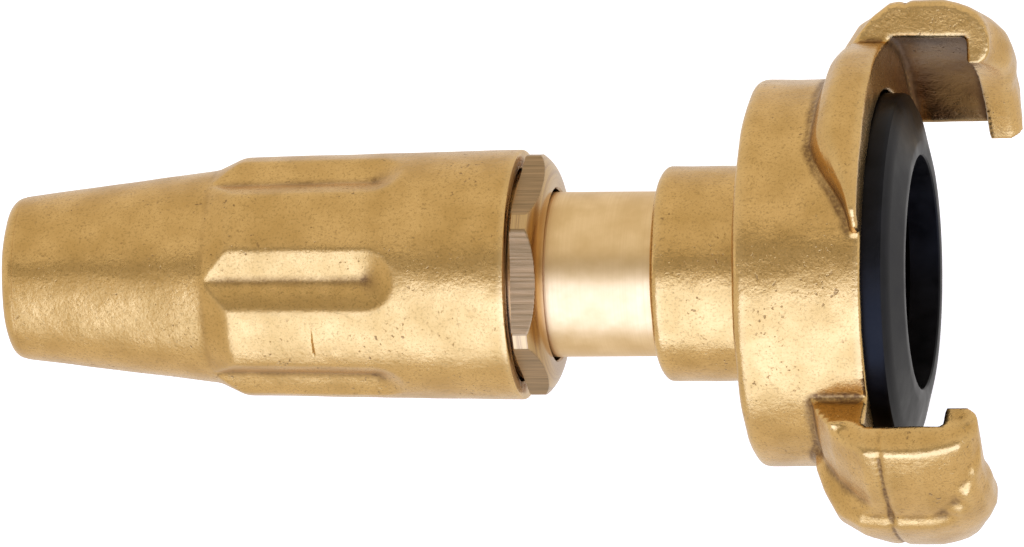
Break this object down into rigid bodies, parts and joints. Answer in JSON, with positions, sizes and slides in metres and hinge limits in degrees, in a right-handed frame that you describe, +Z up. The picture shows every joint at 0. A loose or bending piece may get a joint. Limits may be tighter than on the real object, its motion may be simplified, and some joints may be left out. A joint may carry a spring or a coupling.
{
  "type": "hose spray nozzle",
  "caption": "Straight twist nozzle with a fluted tapered sleeve, a hexagon gland nut, a turned stem and a two-claw quick coupling with a lip seal.",
  "frame": {"origin": "centre of the plane in which the two coupled seals meet, on the nozzle's axis", "axes": "+X along the nozzle's axis from the tip to the coupling, +Y through the middle of one claw, +Z up"},
  "size_m": [0.0976, 0.053, 0.0442],
  "materials": {
    "forged_brass": "satin, forged and blasted, with small dark pits and brown stains in the creases",
    "turned_brass": "turned, with fine tool lines",
    "black_rubber": "semi-gloss moulded rubber",
    "white_packing": "matt pressed packing"
  },
  "bodies": {
    "hose_side": {"coupling_body": "forged_brass", "coupling_seal": "black_rubber", "neck_gasket": "black_rubber", "stem": "turned_brass", "stem_oring": "black_rubber", "jet_plug": "turned_brass", "plug_oring": "black_rubber"},
    "gland_pack": {"gland_rear_washer": "turned_brass", "gland_packing": "white_packing", "gland_front_washer": "turned_brass"},
    "nozzle_head": {"nozzle_sleeve": "forged_brass", "gland_nut": "turned_brass"}
  },
  "joints": [
    {"name": "head_travel", "type": "slide", "parent": "hose_side", "child": "gland_pack", "axis": [1, 0, 0], "range_m": [-0.0015, 0.0045]},
    {"name": "head_turn", "type": "hinge", "parent": "gland_pack", "child": "nozzle_head", "pos_m": [-0.0393, 0, 0], "axis": [1, 0, 0], "range_deg": [-180, 540]}
  ],
  "couplings": [
    {"joint": "head_travel", "follows": "head_turn", "m_per_rad": 0.00047746}
  ]
}
